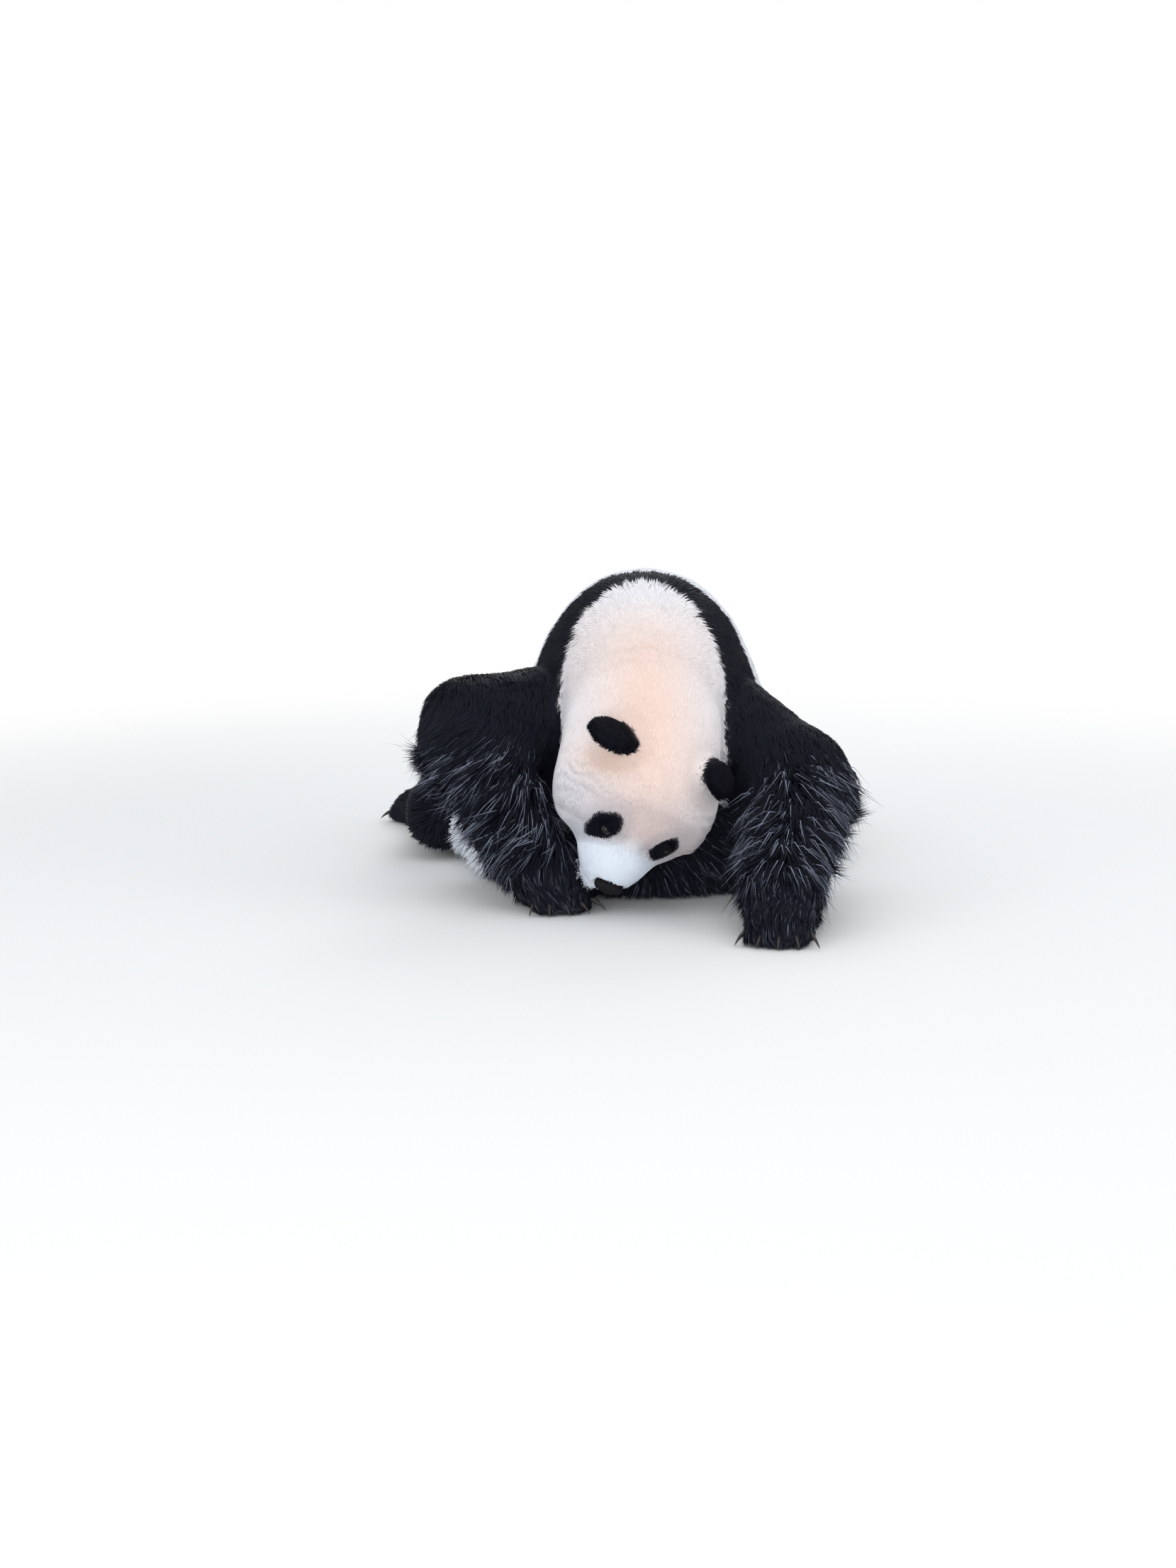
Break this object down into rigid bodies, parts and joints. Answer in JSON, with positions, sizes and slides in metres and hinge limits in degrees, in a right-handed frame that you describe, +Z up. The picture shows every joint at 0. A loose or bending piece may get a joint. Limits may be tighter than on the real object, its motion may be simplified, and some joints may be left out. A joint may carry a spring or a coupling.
{
  "type": "giant panda",
  "caption": "Life-size still model of a giant panda slumped on its belly, hind legs spread wide, head hung between bent forelegs.",
  "frame": {"origin": "on the floor, under the middle of the bounding box", "axes": "+Z up from the floor, -Y the way the animal faces, +X to its left side"},
  "size_m": [1.0782, 1.3704, 0.6101],
  "materials": {
    "white_coat": "soft dense fur, matte",
    "black_coat": "soft dense fur with a faint bluish sheen",
    "nose_leather": "damp, finely grained",
    "eye_cornea": "wet gloss",
    "claw_horn": "worn satin"
  },
  "bodies": {
    "root": {"thigh_right": "black_coat", "thigh_left": "black_coat", "chest": "black_coat", "rump": "white_coat", "trunk": "white_coat", "neck": "white_coat", "nose": "nose_leather", "eye_right": "eye_cornea", "ear_right": "black_coat", "eye_left": "eye_cornea", "ear_left": "black_coat", "head": "white_coat", "upper_arm_right": "black_coat", "forearm_right": "black_coat", "forepaw_right": "black_coat", "claw_front_right_1": "claw_horn", "claw_front_right_2": "claw_horn", "claw_front_right_3": "claw_horn", "claw_front_right_4": "claw_horn", "claw_front_right_5": "claw_horn", "upper_arm_left": "black_coat", "forearm_left": "black_coat", "forepaw_left": "black_coat", "claw_front_left_1": "claw_horn", "claw_front_left_2": "claw_horn", "claw_front_left_3": "claw_horn", "claw_front_left_4": "claw_horn", "claw_front_left_5": "claw_horn", "shin_right": "black_coat", "hindpaw_right": "black_coat", "claw_hind_right_1": "claw_horn", "claw_hind_right_2": "claw_horn", "claw_hind_right_3": "claw_horn", "claw_hind_right_4": "claw_horn", "claw_hind_right_5": "claw_horn", "shin_left": "black_coat", "hindpaw_left": "black_coat", "claw_hind_left_1": "claw_horn", "claw_hind_left_2": "claw_horn", "claw_hind_left_3": "claw_horn", "claw_hind_left_4": "claw_horn", "claw_hind_left_5": "claw_horn", "tail": "white_coat"}
  },
  "joints": []
}
